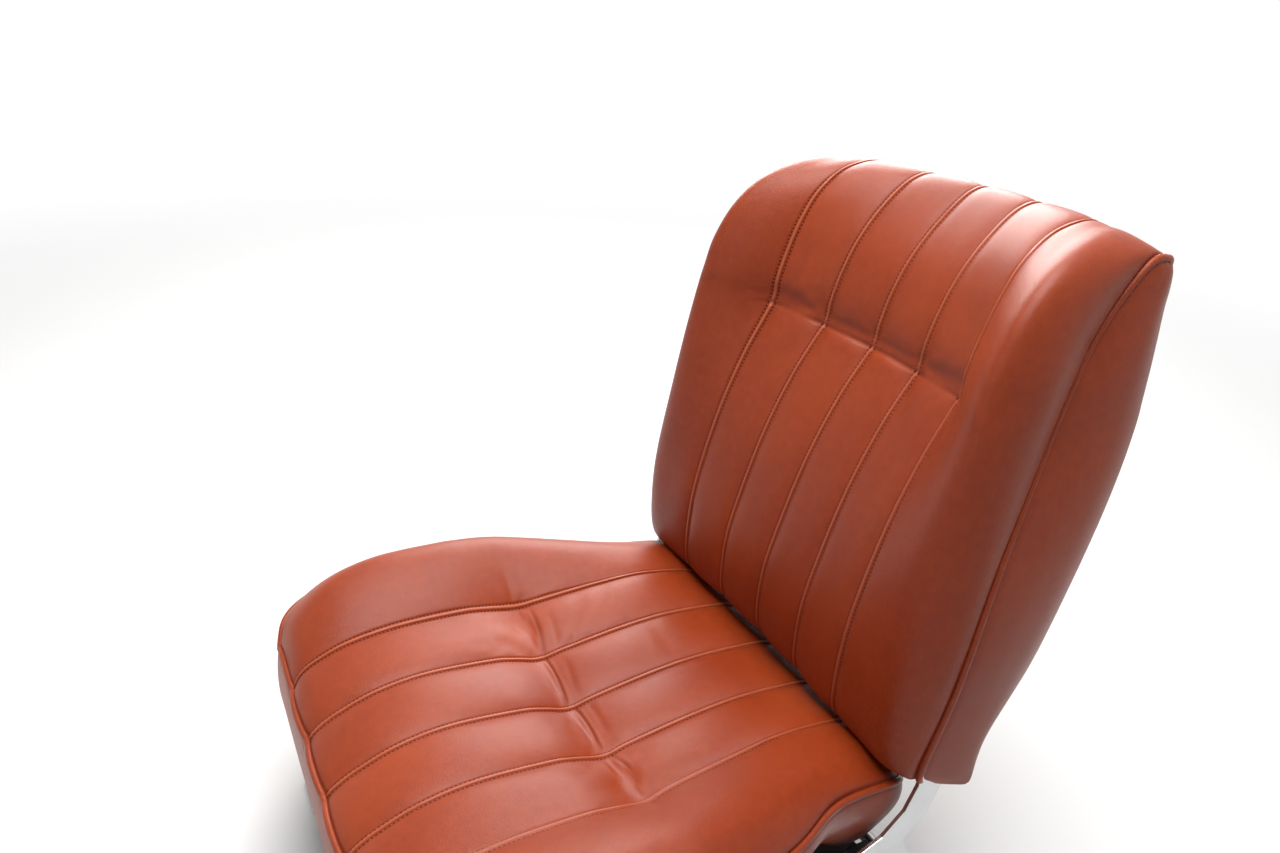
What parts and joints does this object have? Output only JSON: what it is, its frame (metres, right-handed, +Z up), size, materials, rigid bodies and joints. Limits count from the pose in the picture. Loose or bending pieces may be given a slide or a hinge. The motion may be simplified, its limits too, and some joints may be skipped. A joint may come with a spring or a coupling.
{
  "type": "car seat",
  "caption": "Leather front bucket seat of an open two-seater: cushion on a sliding steel base, and a tipping backrest on bent chrome side arms.",
  "frame": {"origin": "on the floor, at the centre of the four floor bolts", "axes": "+Z up, -Y the way the seat faces, +X to the sitter's left"},
  "size_m": [0.5006, 0.6551, 0.6484],
  "materials": {
    "leather": "semi-gloss",
    "chrome": "polished",
    "frame_paint": "satin",
    "rail_steel": "satin",
    "spring_steel": "satin",
    "cam_steel": "satin",
    "knob": "satin"
  },
  "bodies": {
    "floor_runners": {"floor_rail_left": "rail_steel", "floor_rail_right": "rail_steel", "foot_front_left": "rail_steel", "foot_front_right": "rail_steel", "foot_rear_left": "rail_steel", "foot_rear_right": "rail_steel"},
    "seat_base": {"slider_left": "frame_paint", "slider_right": "frame_paint", "side_member_left": "frame_paint", "side_member_right": "frame_paint", "base_tubes": "frame_paint", "cushion_frame_sides": "frame_paint", "cushion_frame_ends": "frame_paint", "cushion_springs": "spring_steel", "cushion": "leather", "pivot_bolt_left": "chrome", "pivot_bolt_right": "chrome", "rake_cam_left": "cam_steel", "rake_cam_right": "cam_steel", "rake_shaft": "cam_steel", "rake_lever": "chrome", "rake_knob": "knob", "latch_bar": "cam_steel", "latch_knob": "knob"},
    "backrest": {"backrest": "leather", "back_board": "leather", "back_tube": "frame_paint", "arm_left": "chrome", "arm_right": "chrome"}
  },
  "joints": [
    {"name": "seat_slide", "type": "slide", "parent": "floor_runners", "child": "seat_base", "axis": [0, 1, 0], "range_m": [-0.064, 0.064]},
    {"name": "backrest_fold", "type": "hinge", "parent": "seat_base", "child": "backrest", "pos_m": [0, 0.099, 0.107], "axis": [1, 0, 0], "range_deg": [0, 38]}
  ]
}
